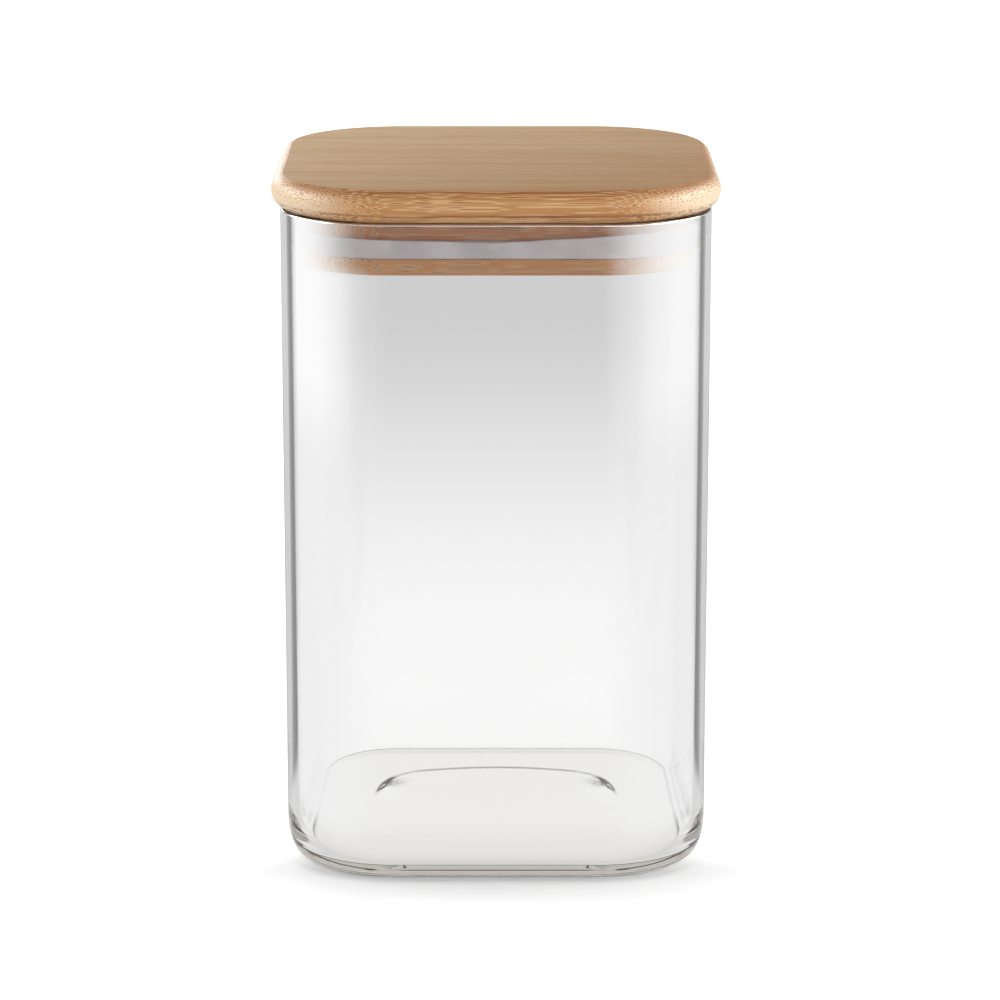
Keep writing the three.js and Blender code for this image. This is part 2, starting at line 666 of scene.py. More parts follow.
@dataclass(frozen=True)
class Board:
    """One bamboo board of the lid, as its finish needs it.

    Attributes:
        ply: Which board it is.
        low: Height of its lower face, in metres.
        high: Height of its upper face, in metres.
        dark_line: Height of the dark line, in metres: a glue stain on the top and middle boards, a
            painted shadow under the seal on the bottom board.
    """

    ply: Ply
    low: float
    high: float
    dark_line: float


@dataclass(frozen=True)
class Bamboo:
    """Sanded bamboo board. The fibres run along X, so the ends show them as dots.

    Lengths of the grain are in millimetres, and scales are per millimetre along each axis.

    Attributes:
        pale: Colour of the pith between the fibres.
        warm: Colour of its darker streaks.
        cream_and_sheen: Colour of the pith on the sawn ends, paler than elsewhere, partly as their own
            colour and partly as a painted sheen.
        rind: Colour of the dense layer along the upper edge.
        painted_sheen_far: Painted sheen on the sanded flat face at the back on the left, a lighter and
            greyer tint.
        painted_shade_near: Painted shade on that face at the front on the right, a darker tint.
        neck_painted_light: Painted light on the part that goes into the jar above the seal, a tint that
            brightens and warms it.
        foot: Painted light on the part below the seal, a tint that brightens and warms it.
        fibre: Colour of the fibre bundles.
        halo: Colour of the pale ring round a bundle.
        glue_and_shadow: Colour of the stain along a glued edge, and of the painted shadow under the
            seal.
        spacing: Distance between bundles.
        scatter: How far bundles lie from an even pattern.
        strip: Width of the strips that the board is made of.
        sway: How far a bundle wanders to its sides.
        drift: Scale of that wandering.
        bundle: Radius of a bundle at the lower and at the upper face, in spacings.
        bundle_spread: Size of the smallest and of the largest bundle against that radius.
        bundle_share: Share of the bundles that are smaller than the largest.
        dot_edge: Between which distances past its edge a bundle darkens.
        halo_edge: Between which distances past its edge the pale ring starts.
        fine_grain: Scale of the fine streaks.
        fine_layers: Number and strength of the finer layers in them.
        broad_grain: Scale of the broad streaks.
        tone: Between which streak values the pith turns from pale to warm.
        strip_contrast: How much one strip differs from the next.
        flat_face: Between which upward shares of its normal a face counts as the flat top.
        end_face: Between which sideways shares of its normal a face counts as a sawn end.
        end_cream_and_sheen: How far the sawn ends take that colour, partly their own paleness and partly
            a painted sheen.
        rind_depth: Between which depths below the upper face the rind grows, in metres.
        rind_share: Strength of the rind.
        rind_on_ends: Part of it that stays on the sawn ends.
        slant: How the painted sheen and shade on the flat face change with the place.
        slant_middle: Share of the painted sheen in the middle of the flat face.
        dots_on_face: How much of the dots the flat face shows.
        halo_share: Strength of the pale rings.
        dot_share: Strength of the dots.
        flange: Between which depths below its upper face the middle board's neck, with its painted
            light, starts, in metres.
        stain_and_shadow_reach: Distance from the dark line that the glue stain and the painted shadow
            reach, in metres.
        stain_and_shadow_share: Strength of the glue stain and of the painted shadow.
        stain_and_shadow_end: Share of sawn end at which they have faded.
        stain_and_shadow_on_ends: Part of them that stays on the sawn ends.
        patch_size: Scale of the patches in the stain.
        patch_edge: Between which patch values the stain grows.
        seat_painted_shadow: Strength of the even painted shadow along the seal's seat, under the seal.
        roughness: Least and greatest roughness.
        rough_edge: Between which streak values the roughness grows.
        relief: Height of the grain's relief, in metres.
        relief_strength: How much of the relief shows.
        relief_shares: How far the streaks stand out in it and the bundles lie back.
        refraction: Index of refraction of the surface.
        shine: Strength of its reflections, 0.5 being that of the index.
    """

    pale: Colour = srgb(199, 147, 88)
    warm: Colour = srgb(184, 125, 62)
    cream_and_sheen: Colour = srgb(240, 215, 185)
    rind: Colour = srgb(146, 82, 12)
    painted_sheen_far: Colour = (1.14, 1.63, 3.0)
    painted_shade_near: Colour = (0.73, 0.80, 0.88)
    neck_painted_light: Colour = (1.28, 0.88, 0.42)
    foot: Colour = (1.45, 1.2, 0.74)
    fibre: Colour = srgb(150, 86, 26)
    halo: Colour = srgb(236, 200, 154)
    glue_and_shadow: Colour = srgb(118, 56, 22)
    spacing: float = 0.62
    scatter: float = 0.75
    strip: float = 11.0
    sway: float = 0.9
    drift: Triple = (0.055, 0.12, 0.12)
    bundle: Span = (0.10, 0.30)
    bundle_spread: Span = (0.6, 1.15)
    bundle_share: float = 0.8
    dot_edge: Span = (-0.09, 0.06)
    halo_edge: Span = (-0.34, -0.12)
    fine_grain: Triple = (0.02, 3.4, 3.4)
    fine_layers: Span = (3.0, 0.6)
    broad_grain: Triple = (0.012, 0.3, 0.5)
    tone: Span = (0.35, 0.65)
    strip_contrast: float = 0.12
    flat_face: Span = (0.972, 0.992)
    end_face: Span = (0.22, 0.78)
    end_cream_and_sheen: float = 0.95
    rind_depth: Span = (2.4 * MM, 0.2 * MM)
    rind_share: float = 0.9
    rind_on_ends: float = 0.35
    slant: Triple = (-0.0055, 0.0078, 0.0)
    slant_middle: float = 0.45
    dots_on_face: float = 0.15
    halo_share: float = 0.45
    dot_share: float = 0.9
    flange: Span = (2.1 * MM, 1.9 * MM)
    stain_and_shadow_reach: float = 0.45 * MM
    stain_and_shadow_share: float = 0.6
    stain_and_shadow_end: float = 0.8
    stain_and_shadow_on_ends: float = 0.2
    patch_size: Triple = (0.07, 0.07, 0.3)
    patch_edge: Span = (0.35, 0.6)
    seat_painted_shadow: float = 1.3
    roughness: Span = (0.36, 0.48)
    rough_edge: Span = (0.3, 0.7)
    relief: float = 0.03 * MM
    relief_strength: float = 0.5
    relief_shares: Span = (0.6, 0.4)
    refraction: float = 1.5
    shine: float = 0.6

    def _along_fibres(self, graph: Graph, millimetres: Socket) -> Socket:
        """Finds a place in the grain, which wanders to the sides along the board.

        Args:
            graph: Node tree of the board.
            millimetres: Place on the board.

        Returns:
            Place in the grain.
        """
        drift = graph.add(
            "ShaderNodeTexNoise",
            {"Vector": graph.stretch(millimetres, self.drift), "Scale": 1.0, "Detail": 1.0},
        )
        swing = graph.vector("SUBTRACT", drift.outputs["Color"], (0.5, 0.5, 0.5)).outputs[0]
        swing = graph.vector("MULTIPLY", swing, (0.0, 2 * self.sway, 2 * self.sway)).outputs[0]
        return graph.vector("ADD", swing, millimetres).outputs[0]

    def _bundles(
        self, graph: Graph, grain: Socket, height: Socket, board: Board
    ) -> tuple[Socket, Socket]:
        """Scatters the fibre bundles, which are thickest towards the upper face.

        Args:
            graph: Node tree of the board.
            grain: Place in the grain.
            height: Height of the place.
            board: The board.

        Returns:
            The shares of the bundles and of the pale rings round them.
        """
        across = graph.add(
            "ShaderNodeCombineXYZ", {0: graph.axis(grain, "Y"), 1: graph.axis(grain, "Z")}
        )
        cells = graph.add(
            "ShaderNodeTexVoronoi",
            {"Vector": across.outputs[0], "Scale": 1 / self.spacing, "Randomness": self.scatter},
            voronoi_dimensions="2D",
        )
        chance = graph.axis(cells.outputs["Color"], "X")
        radius = graph.product(
            graph.fade(height, board.low, board.high, *self.bundle),
            graph.fade(chance, 0.0, self.bundle_share, *self.bundle_spread),
        )
        edge = graph.calc("SUBTRACT", radius, cells.outputs["Distance"])
        return graph.fade(edge, *self.dot_edge), graph.fade(edge, *self.halo_edge)

    def _pith(self, graph: Graph, grain: Socket, fine: Socket, millimetres: Socket) -> Socket:
        """Returns the colour of the pith, streaked along the fibres and a little other in each strip.

        Args:
            graph: Node tree of the board.
            grain: Place in the grain.
            fine: The fine streaks.
            millimetres: Place on the board.

        Returns:
            The colour.
        """
        broad = graph.noise(graph.stretch(grain, self.broad_grain), 1.0)
        tone = graph.calc("ADD", graph.product(fine, 0.5), graph.product(broad, 0.5))
        colour = graph.blend(graph.fade(tone, *self.tone), self.pale, self.warm)
        number = graph.calc("FLOOR", graph.calc("DIVIDE", graph.axis(millimetres, "Y"), self.strip))
        strip = graph.add("ShaderNodeTexWhiteNoise", {"W": number}, noise_dimensions="1D")
        share = graph.product(strip.outputs["Value"], self.strip_contrast)
        return graph.blend(share, colour, self.warm, "MULTIPLY")

    def _dense_edge(
        self, graph: Graph, height: Socket, high: float, ends: Socket, flat: Socket
    ) -> Socket:
        """Returns the share of dense rind, which lies along the upper edge but not on the flat face.

        Args:
            graph: Node tree of the board.
            height: Height of the place.
            high: Height of the board's upper face.
            ends: Share of sawn end.
            flat: Share of flat face.

        Returns:
            The share.
        """
        start, end = (high - depth for depth in self.rind_depth)
        return graph.product(
            graph.fade(height, start, end, 0.0, self.rind_share),
            graph.fade(ends, 0.0, 1.0, 1.0, self.rind_on_ends),
            graph.fade(flat, 0.0, 1.0, 1.0, 0.0),
        )

    def _painted_face_sheen(self, graph: Graph, millimetres: Socket) -> Socket:
        """Paints sheen and shade on the flat face, from corner to corner.

        Args:
            graph: Node tree of the board.
            millimetres: Place on the board.

        Returns:
            The painted sheen and shade, as a tint.
        """
        share = graph.vector("DOT_PRODUCT", millimetres, self.slant).outputs["Value"]
        share = graph.calc("ADD", share, self.slant_middle, clamp=True)
        return graph.blend(share, self.painted_shade_near, self.painted_sheen_far)

    def _stain_and_shadow(
        self, graph: Graph, millimetres: Socket, height: Socket, ends: Socket, board: Board
    ) -> Socket:
        """Returns the share of the dark line: a glue stain on the top and middle boards, a painted
        shadow under the seal on the bottom board.

        Args:
            graph: Node tree of the board.
            millimetres: Place on the board.
            height: Height of the place in metres.
            ends: Share of sawn end.
            board: The board.

        Returns:
            The share.
        """
        off = graph.calc("ABSOLUTE", graph.calc("SUBTRACT", height, board.dark_line))
        # The bottom board gets an even painted shadow under the seal, the others a patchy glue stain.
        strength = self.seat_painted_shadow
        if board.ply is not Ply.BOTTOM:
            patch = graph.noise(graph.stretch(millimetres, self.patch_size), 1.0)
            strength = graph.fade(patch, *self.patch_edge)
        return graph.product(
            graph.fade(off, 0.0, self.stain_and_shadow_reach, self.stain_and_shadow_share, 0.0),
            strength,
            graph.fade(ends, 0.0, self.stain_and_shadow_end, 1.0, self.stain_and_shadow_on_ends),
        )

    def material(self, board: Board) -> bpy.types.Material:
        """Makes the material of one board.

        Args:
            board: The board.

        Returns:
            The bamboo material.
        """
        material, graph = new_material(f"bamboo_{board.ply.name.lower()}")
        place = graph.add("ShaderNodeTexCoord").outputs["Object"]
        height = graph.axis(place, "Z")
        millimetres = graph.stretch(place, (1 / MM, 1 / MM, 1 / MM))
        grain = self._along_fibres(graph, millimetres)
        dots, ring = self._bundles(graph, grain, height, board)
        geometry = graph.add("ShaderNodeNewGeometry")
        flat = graph.fade(graph.axis(geometry.outputs["True Normal"], "Z"), *self.flat_face)
        sideways = graph.calc("ABSOLUTE", graph.axis(geometry.outputs["Normal"], "X"))
        ends = graph.fade(sideways, *self.end_face)

        fine = graph.noise(graph.stretch(grain, self.fine_grain), 1.0, *self.fine_layers)
        colour = self._pith(graph, grain, fine, millimetres)
        # Paler sawn ends: partly their own colour, partly a painted sheen from the side lamps.
        colour = graph.blend(graph.product(ends, self.end_cream_and_sheen), colour, self.cream_and_sheen)
        if board.ply is Ply.TOP:
            dense = self._dense_edge(graph, height, board.high, ends, flat)
            colour = graph.blend(dense, colour, self.rind)
        # Painted sheen and shade on the flat face: lighter and greyer at the back on the left, darker at
        # the front on the right.
        colour = graph.blend(flat, colour, self._painted_face_sheen(graph, millimetres), "MULTIPLY")
        # Painted light: the neck behind the glass is brightened and warmed by a tint.
        if board.ply is Ply.MIDDLE:
            start, end = (board.high - depth for depth in self.flange)
            colour = graph.blend(graph.fade(height, start, end, 1.0, 0.0), colour, self.neck_painted_light, "MULTIPLY")
        # Painted light: the foot behind the glass is brightened and warmed by a tint.
        if board.ply is Ply.BOTTOM:
            colour = graph.blend(1.0, colour, self.foot, "MULTIPLY")
        shown = graph.fade(flat, 0.0, 1.0, 1.0, self.dots_on_face)
        colour = graph.blend(graph.product(ring, self.halo_share, shown), colour, self.halo)
        colour = graph.blend(graph.product(dots, self.dot_share, shown), colour, self.fibre)
        # Glue stain along the joints, and on the bottom board a painted shadow under the seal.
        colour = graph.blend(self._stain_and_shadow(graph, millimetres, height, ends, board), colour, self.glue_and_shadow)

        out, back = self.relief_shares
        raised = graph.calc("SUBTRACT", graph.product(fine, out), graph.product(dots, back))
        bump = graph.add(
            "ShaderNodeBump",
            {"Strength": self.relief_strength, "Distance": self.relief, "Height": raised},
        )
        wood = graph.add(
            "ShaderNodeBsdfPrincipled",
            {
                "Base Color": colour,
                "Roughness": graph.fade(fine, *self.rough_edge, *self.roughness),
                "IOR": self.refraction,
                "Specular IOR Level": self.shine,
                "Normal": bump.outputs[0],
            },
        )
        graph.add("ShaderNodeOutputMaterial", {"Surface": wood.outputs[0]})
        return material


@dataclass(frozen=True)
class Silicone:
    """Milky translucent moulded silicone.

    Attributes:
        pale: Its colour.
        dull: Colour of its faint clouds.
        cloud_size: How fine the clouds are, per metre.
        cloud_detail: How many finer layers they have.
        cloud_edge: Between which cloud values the colour changes.
        roughness: Least and greatest roughness.
        rough_edge: Between which cloud values the roughness grows.
        refraction: Index of refraction.
        clearness: Share of the light that passes clear through it.
    """

    pale: Colour = srgb(246, 236, 238)
    dull: Colour = srgb(228, 218, 220)
    cloud_size: float = 120.0
    cloud_detail: float = 3.0
    cloud_edge: Span = (0.35, 0.65)
    roughness: Span = (0.32, 0.45)
    rough_edge: Span = (0.3, 0.7)
    refraction: float = 1.41
    clearness: float = 0.05

    def material(self) -> bpy.types.Material:
        """Makes the silicone material.

        Returns:
            The silicone material.
        """
        material, graph = new_material("silicone")
        place = graph.add("ShaderNodeTexCoord").outputs["Object"]
        cloud = graph.noise(place, self.cloud_size, self.cloud_detail)
        rubber = graph.add(
            "ShaderNodeBsdfPrincipled",
            {
                "Base Color": graph.blend(graph.fade(cloud, *self.cloud_edge), self.pale, self.dull),
                "Roughness": graph.fade(cloud, *self.rough_edge, *self.roughness),
                "IOR": self.refraction,
                "Transmission Weight": self.clearness,
            },
        )
        graph.add("ShaderNodeOutputMaterial", {"Surface": rubber.outputs[0]})
        return material


@dataclass
class GlassJar:
    """The blown glass body.

    Attributes:
        corner: Corner radius of the outside, seen from above.
        wall: Thickness of the wall.
        rim_round: Round along both edges of the rim.
        base: Thickness of the base.
        heel_inset: How far the heel draws in outside.
        heel_height: Height over which it draws in.
        inner_heel_inset: How far the heel draws in inside.
        inner_heel_height: Height over which it draws in inside.
        ring: Width of the outer part of the flat ring that the jar stands on.
        shrinkage: Size of the push-up against the inner edge of that part.
        softness: How far the push-up's outline goes from the jar's towards a circle.
        slope: Width of the push-up's sloping edge.
        inner_rings: Width of the rings inside the slope, from which the tears are raised.
        rise: Height of the push-up at the front.
        back_swell: Its height at the back against the front.
        back_span: Where along Y it starts to be higher and where it is highest.
        tear: Place of the small drop-shaped hollow at each of its back corners.
        tear_size: Radius of that hollow.
        tear_swell: Height of that hollow against the push-up round it.
        round_steps: Steps along each rounded edge.
    """

    corner: float = 25.5 * MM
    wall: float = 2.5 * MM
    rim_round: float = 0.6 * MM
    base: float = 2.6 * MM
    heel_inset: float = 3.0 * MM
    heel_height: float = 9.0 * MM
    inner_heel_inset: float = 3.5 * MM
    inner_heel_height: float = 9.0 * MM
    ring: float = 9.0 * MM
    shrinkage: float = 0.77
    softness: float = 0.5
    slope: float = 2.8 * MM
    inner_rings: float = 5.6 * MM
    rise: float = 0.06 * MM
    back_swell: float = 1.3
    back_span: Span = (4.0 * MM, 24.0 * MM)
    tear: tuple[float, float] = (28.5 * MM, 13.5 * MM)
    tear_size: float = 10.0 * MM
    tear_swell: float = 9.0
    round_steps: int = 12

    def __post_init__(self) -> None:
        """Takes the width and height from the frame."""
        low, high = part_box("jar_body")
        self.height = high[2]
        self.outline = Outline((high[0] - low[0]) / 2, self.corner)

    def _slope_steps(self) -> Iterator[tuple[float, float]]:
        """Yields the steps of the push-up's slope, flat at both ends."""
        rises = [
            self.rise * (1 - math.cos(math.pi * k / self.round_steps)) / 2
            for k in range(self.round_steps + 1)
        ]
        for rise, following in zip(rises, rises[1:]):
            yield self.slope / self.round_steps, following - rise

    def build(self) -> bpy.types.Object:
        """Models the body from its heel up over the rim, down inside, and then underneath.

        Returns:
            The glass body.
        """
        rim = self.rim_round
        carving = Carving("glass_jar", self.outline, self.heel_height)
        carving.extrude(self.height - rim - self.heel_height)
        carving.follow(arc_steps(rim, rim, 180, 90, self.round_steps))
        carving.step(self.wall - 2 * rim)
        carving.follow(arc_steps(rim, rim, 90, 0, self.round_steps))
        carving.extrude(self.base + self.inner_heel_height - self.height + rim)
        carving.follow(
            arc_steps(self.inner_heel_inset, self.inner_heel_height, 180, 270, self.round_steps)
        )
        carving.turn_over()
        carving.follow(arc_steps(self.heel_inset, self.heel_height, 180, 270, self.round_steps))
        carving.step(self.ring)
        carving.shrink(self.shrinkage)
        carving.soften(self.softness)
        carving.follow(self._slope_steps())
        for _ in range(self.round_steps):
            carving.step(self.inner_rings / self.round_steps)
        self._raise_back(carving)
        return carving.finish(sharp_angle=40)

    def _raise_back(self, carving: Carving) -> None:
        """Makes the push-up higher towards the back, and highest in a tear at each back corner.

        Args:
            carving: The body under edit.
        """
        stages = self.round_steps
        underside = self.base / 2
        low, high = self.back_span
        end = self.outline.half_width - self.ring
        for k in range(stages):
            start = low + (high - low) * k / stages
            carving.swell(
                lambda spot: spot.z < underside and start < spot.y < end,
                self.back_swell ** (1 / stages),
            )
        across, along = self.tear
        for k in range(stages):
            reach = self.tear_size * (1 - k / stages)
            carving.swell(
                lambda spot: spot.z < underside
                and math.hypot(abs(spot.x) - across, spot.y - along) < reach,
                self.tear_swell ** (1 / stages),
            )

    def dress(self, piece: bpy.types.Object) -> None:
        """Gives the body its finish and its place in the frame.

        Args:
            piece: Its mesh.
        """
        piece.data.materials.append(ClearGlass().material(self.outline, self.wall))
        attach(piece, "jar")
        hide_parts("jar_body")
        log.info("glass jar: %d faces", len(piece.data.polygons))


@dataclass
class BambooLid:
    """The lid's three glued boards.

    Attributes:
        jar: The jar that the lid fits.
        overhang: How far the rim stands out past the glass.
        seat: Gap between the rim and the glass below it.
        corner: Corner radius of the rim.
        edge_inset: How far the rim's rounded edge runs in on its two faces.
        edge_steps: Steps along half of that edge.
        plug_clearance: Gap between the plug and the glass.
        groove_height: Height of the seal's groove.
        groove_depth: Depth of the groove.
        foot_round: Round along the plug's lower edge.
        foot_steps: Steps along that round.
        skin: Small height that keeps the boards' faces apart and their edges square.
    """

    jar: GlassJar
    overhang: float = 2.2 * MM
    seat: float = 0.1 * MM
    corner: float = 29.5 * MM
    edge_inset: float = 2.9 * MM
    edge_steps: int = 10
    plug_clearance: float = 2.0 * MM
    groove_height: float = 4.1 * MM
    groove_depth: float = 2.5 * MM
    foot_round: float = 0.7 * MM
    foot_steps: int = 5
    skin: float = 0.02 * MM

    def __post_init__(self) -> None:
        """Takes the heights and the width from the frame."""
        self.rim_outline = Outline(self.jar.outline.half_width + self.overhang, self.corner)
        self.plug = self.jar.outline.inset(self.jar.wall + self.plug_clearance)
        boxes = {ply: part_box(ply.value) for ply in Ply}
        self.spans = {ply: (low[2], high[2]) for ply, (low, high) in boxes.items()}
        self.groove_bottom = self.spans[Ply.MIDDLE][0] - self.groove_height
        self.rim_bottom = self.jar.height + self.seat
        self.rim_top = self.spans[Ply.TOP][1]
        half_rim = (self.rim_top - self.rim_bottom) / 2
        self.rim_middle = self.rim_bottom + half_rim
        self.edge_radius = (half_rim**2 + self.edge_inset**2) / (2 * self.edge_inset)

    def _edge_angle(self, height: float) -> float:
        """Returns the angle on the rim's rounded edge at a height, in degrees."""
        return 180 - math.degrees(math.asin((height - self.rim_middle) / self.edge_radius))

    def _edge_steps(self, start: float, end: float) -> Iterator[tuple[float, float]]:
        """Walks the rounded edge between two heights.

        Args:
            start: Height of the first point.
            end: Height of the last point.

        Returns:
            The inset and the rise of each step.
        """
        return arc_steps(
            self.edge_radius,
            self.edge_radius,
            self._edge_angle(start),
            self._edge_angle(end),
            self.edge_steps,
        )

    @staticmethod
    def _carve(ply: Ply, outline: Outline, height: float) -> Carving:
        """Returns the first plate of a board, at a height."""
        return Carving(ply.value.replace("lid", "bamboo"), outline, height)

    def build_top(self) -> bpy.types.Object:
        """Models the top board, up and down from its widest line.

        Returns:
            The top board.
        """
        carving = self._carve(Ply.TOP, self.rim_outline, self.rim_middle)
        carving.extrude(self.skin)
        carving.follow(self._edge_steps(self.rim_middle, self.rim_top - self.skin))
        carving.turn_over()
        carving.follow(self._edge_steps(self.rim_middle, self.spans[Ply.TOP][0]))
        return carving.finish(sharp_angle=10)

    def build_middle(self) -> bpy.types.Object:
        """Models the middle board: a flange in the rim and a neck in the jar.

        Returns:
            The middle board.
        """
        low = self.spans[Ply.MIDDLE][0]
        high = self.spans[Ply.TOP][0] - self.skin
        turn = math.radians(self._edge_angle(high))
        inset = self.edge_radius * (1 + math.cos(turn))
        carving = self._carve(Ply.MIDDLE, self.rim_outline.inset(inset), high - self.skin)
        carving.extrude(self.skin)
        carving.turn_over()
        carving.follow(self._edge_steps(high - self.skin, self.rim_bottom))
        carving.open_face()
        carving.add_plate(self.plug, low)
        carving.extrude(self.rim_bottom - low)
        carving.open_face()
        carving.bridge_openings()
        return carving.finish(sharp_angle=40)

    def build_bottom(self) -> bpy.types.Object:
        """Models the bottom board: a core that carries the seal and the foot below it.

        Returns:
            The bottom board.
        """
        low, high = self.spans[Ply.BOTTOM]
        carving = self._carve(Ply.BOTTOM, self.plug, low + self.foot_round)
        carving.extrude(self.groove_bottom - low - self.foot_round)
        carving.step(self.groove_depth)
        carving.extrude(high - self.groove_bottom)
        carving.turn_over()
        carving.follow(arc_steps(self.foot_round, self.foot_round, 180, 270, self.foot_steps))
        return carving.finish(sharp_angle=40)

    def dress(self, ply: Ply, piece: bpy.types.Object) -> None:
        """Gives a board its finish and its place in the frame.

        Args:
            ply: Which board it is.
            piece: Its mesh.
        """
        low, high = self.spans[ply]
        dark_lines = {Ply.TOP: low, Ply.MIDDLE: high, Ply.BOTTOM: self.groove_bottom}
        piece.data.materials.append(Bamboo().material(Board(ply, low, high, dark_lines[ply])))
        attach(piece, "lid")
        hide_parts(ply.value)
        log.info("%s: %d faces", piece.name, len(piece.data.polygons))


@dataclass
class SealRing:
    """The silicone ring in the lid's groove.

    Attributes:
        lid: The lid that carries it.
        gap: Gap between its lip and the glass.
        fit: Gap between it and the groove.
        lip: Thickness of the lip.
        lip_round: Round along the lip's lower edge.
        web: Thickness of the web that carries the lip.
        lip_drop: How far the lip sags in the middle of the front and the back.
        right_lift: How far the lip stands up on the right.
        left_lift: How far it stands up on the left.
        wave_span: Where along X the lift starts and where it is complete.
        wave_steps: Stages of the lift.
        lip_reach: How far in from its outside the lip is taken to reach, in lip thicknesses.
        round_steps: Steps along each rounded edge.
    """

    lid: BambooLid
    gap: float = 0.2 * MM
    fit: float = 0.1 * MM
    lip: float = 0.6 * MM
    lip_round: float = 0.9 * MM
    web: float = 1.4 * MM
    lip_drop: float = 0.6 * MM
    right_lift: float = 2.2 * MM
    left_lift: float = 0.9 * MM
    wave_span: Span = (2.0 * MM, 40.0 * MM)
    wave_steps: int = 14
    lip_reach: float = 1.5
    round_steps: int = 6

    def build(self) -> bpy.types.Object:
        """Models the ring from its lip inwards, then joins it underneath.

        Returns:
            The seal.
        """
        jar = self.lid.jar
        low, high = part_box("seal_ring")
        bottom, lip_top = low[2], high[2] - self.lip_drop
        body_top = self.lid.spans[Ply.MIDDLE][0] - self.fit
        outer = jar.wall + self.gap
        body = jar.wall + self.lid.plug_clearance + self.fit
        inner = body + self.lid.groove_depth - 2 * self.fit
        carving = Carving("silicone_seal", jar.outline.inset(outer), bottom + self.lip_round)
        carving.extrude(lip_top - self.lip / 2 - bottom - self.lip_round)
        carving.follow(arc_steps(self.lip / 2, self.lip / 2, 180, 0, self.round_steps))
        carving.extrude(bottom + self.web - lip_top + self.lip / 2)
        carving.step(body - outer - self.lip)
        carving.extrude(body_top - bottom - self.web)
        carving.step(inner - body)
        carving.extrude(bottom - body_top)
        carving.open_face()
        carving.turn_over()
        carving.follow(arc_steps(self.lip_round, self.lip_round, 180, 270, self.round_steps))
        carving.step(inner - outer - self.lip_round)
        carving.open_face()
        self._wave_lip(carving, lip_top)
        return carving.finish(sharp_angle=40)

    def _wave_lip(self, carving: Carving, lip_top: float) -> None:
        """Lifts the top of the lip in small stages towards both sides of the ring.

        Args:
            carving: The seal under edit.
            lip_top: Height of the lip before it is lifted.
        """
        low, high = self.wave_span
        outline = self.lid.jar.outline
        depth = self.lid.jar.wall + self.gap + self.lip_reach * self.lip
        for side, lift in ((1, self.right_lift), (-1, self.left_lift)):
            for k in range(self.wave_steps):
                start = low + (high - low) * k / self.wave_steps
                carving.lift(
                    lambda spot: spot.z > lip_top - self.lip
                    and outline.depth(spot) < depth
                    and side * spot.x > start,
                    lift / self.wave_steps,
                )

    def dress(self, piece: bpy.types.Object) -> None:
        """Gives the seal its finish and its place in the frame.

        Args:
            piece: Its mesh.
        """
        piece.data.materials.append(Silicone().material())
        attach(piece, "lid")
        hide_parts("seal_ring")
        log.info("seal: %d faces", len(piece.data.polygons))


@dataclass(frozen=True)
class Softbox:
    """One soft lamp that looks at a point and fades out towards its edges.

    It doesn't show through the clear glass, though it lights what stands behind the glass.

    Attributes:
        name: Name of the lamp.
        place: Where its middle hangs.
        target: The point that it looks at.
        size: Its width and height.
        glow: How bright its middle is, where a white sheet of paper is about 1.
        fade: Share of its width and of its height over which each edge fades out.
        mirrored: Whether shiny faces show it.
    """

    name: str
    place: Triple
    target: Triple
    size: tuple[float, float]
    glow: float
    fade: tuple[float, float] = (0.3, 0.3)
    mirrored: bool = True

    def hang(self) -> None:
        """Adds the lamp, out of the camera's sight."""
        aim = Vector(self.target) - Vector(self.place)
        turn = aim.to_track_quat("-Z", "Y").to_euler()
        bpy.ops.object.light_add(type="AREA", location=self.place, rotation=turn)
        lamp = bpy.context.object
        lamp.name = self.name
        lamp.visible_camera = False
        lamp.visible_glossy = self.mirrored
        lamp.data.shape = "RECTANGLE"
        lamp.data.size, lamp.data.size_y = self.size
        lamp.data.energy = self.glow * math.pi * self.size[0] * self.size[1]
        lamp.data.use_nodes = True
        graph = Graph(lamp.data.node_tree)
        spot = graph.add("ShaderNodeNewGeometry").outputs["Parametric"]
        ray = graph.add("ShaderNodeLightPath")
        hidden = graph.product(
            graph.rest(graph.any_of(ray.outputs["Diffuse Depth"])),
            graph.any_of(ray.outputs["Transmission Depth"]),
        )
        window = graph.product(
            self._window(graph, graph.axis(spot, "X"), self.fade[0]),
            self._window(graph, graph.axis(spot, "Y"), self.fade[1]),
            graph.rest(hidden),
        )
        light = graph.add("ShaderNodeEmission", {"Color": WHITE, "Strength": window})
        graph.add("ShaderNodeOutputLight", {"Surface": light.outputs[0]})

    @staticmethod
    def _window(graph: Graph, along: Socket, fade: float) -> Socket:
        """Returns a value that rises from 0 to 1 and falls to 0 again along one axis."""
        rise = graph.fade(along, 0.0, fade)
        return graph.product(rise, graph.fade(along, 1.0 - fade, 1.0, 1.0, 0.0))


def seen_through(graph: Graph, ray: bpy.types.Node) -> Socket:
    """Tells rays that have only passed through or off clear glass from all others.

    Args:
        graph: Node tree of the floor or the world.
        ray: Its Light Path node.

    Returns:
        1 for such a ray, else 0.
    """
    turned = graph.calc(
        "ADD", ray.outputs["Is Transmission Ray"], ray.outputs["Is Reflection Ray"], clamp=True
    )
    return graph.product(turned, graph.rest(graph.any_of(ray.outputs["Diffuse Depth"])))


